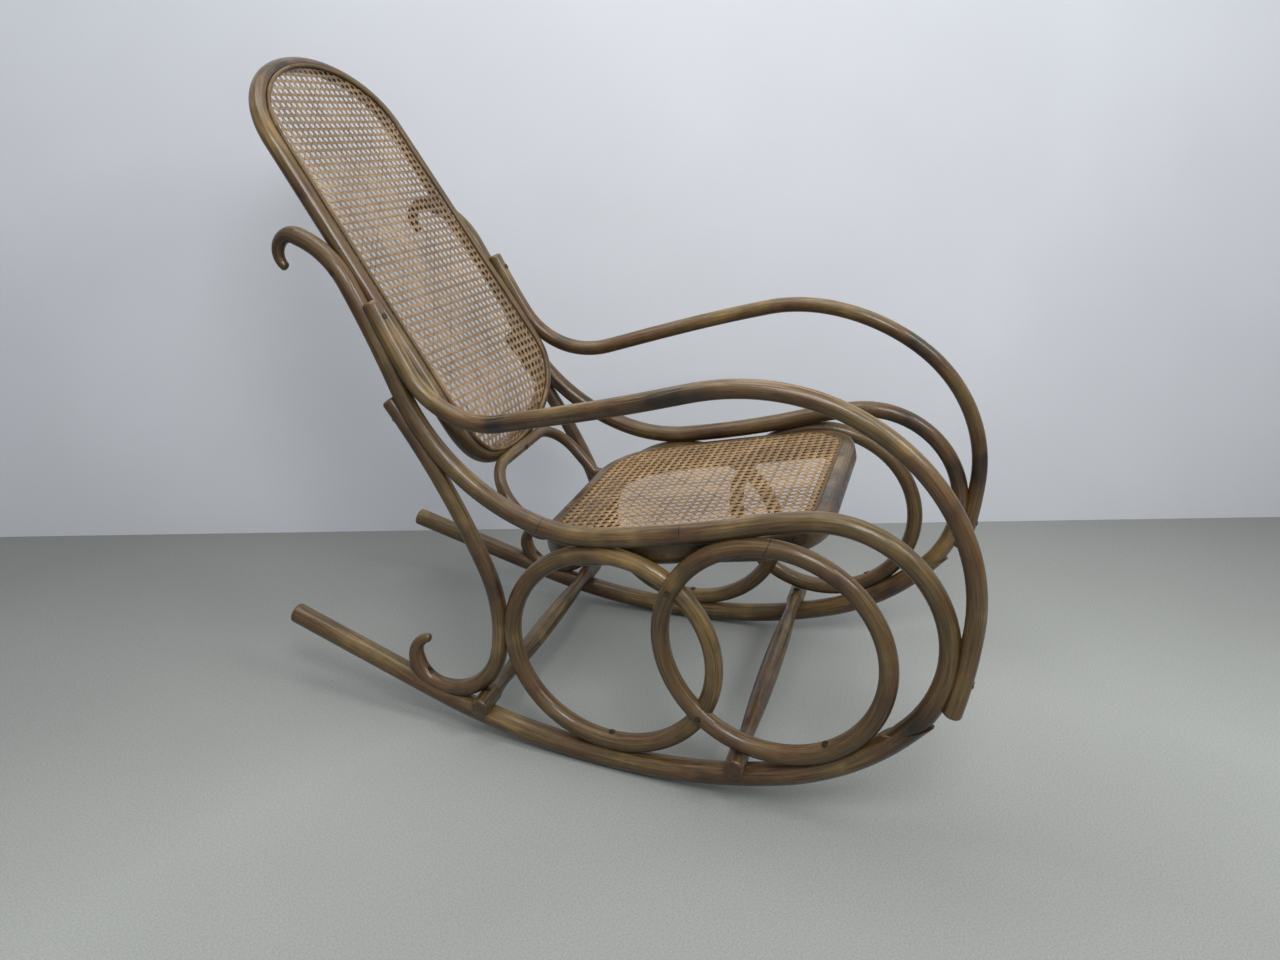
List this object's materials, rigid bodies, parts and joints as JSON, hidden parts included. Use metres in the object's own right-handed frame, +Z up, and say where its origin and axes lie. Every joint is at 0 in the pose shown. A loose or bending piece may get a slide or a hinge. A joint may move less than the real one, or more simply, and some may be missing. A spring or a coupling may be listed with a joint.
{
  "type": "rocking chair",
  "caption": "Bentwood rocking chair with caned seat and leaning caned back, scrolled side frames with rings, swept armrests and long rockers.",
  "frame": {"origin": "on the floor, under the middle of the chair's bounding box", "axes": "+Z up, -Y the way the sitter faces, +X to the sitter's left"},
  "size_m": [0.523, 1.1105, 0.9854],
  "materials": {
    "bent_wood": "stained, satin",
    "seat_wood": "stained, satin",
    "turned_wood": "stained, satin",
    "cane": "woven cane, satin",
    "cane_cord": "cane cord, satin",
    "screw": "aged"
  },
  "bodies": {
    "root": {"side_bend_right": "bent_wood", "rocker_right": "bent_wood", "armrest_right": "bent_wood", "rear_strut_right": "bent_wood", "rear_ring_right": "bent_wood", "front_ring_right": "bent_wood", "side_bend_left": "bent_wood", "rocker_left": "bent_wood", "armrest_left": "bent_wood", "rear_strut_left": "bent_wood", "rear_ring_left": "bent_wood", "front_ring_left": "bent_wood", "back_hoop": "bent_wood", "back_arch": "bent_wood", "back_cane": "cane", "seat_cane": "cane", "back_binding": "cane_cord", "seat_binding": "cane_cord", "seat_frame": "seat_wood", "front_stretcher": "turned_wood", "rear_stretcher": "turned_wood", "arm_top_screws": "screw", "arm_foot_screws": "screw", "strut_top_screws": "screw", "strut_foot_screws": "screw", "ring_top_screws": "screw", "ring_foot_screws": "screw", "ring_crossing_screws": "screw", "hoop_screws": "screw", "arch_screw": "screw", "stretcher_screws": "screw"}
  },
  "joints": []
}
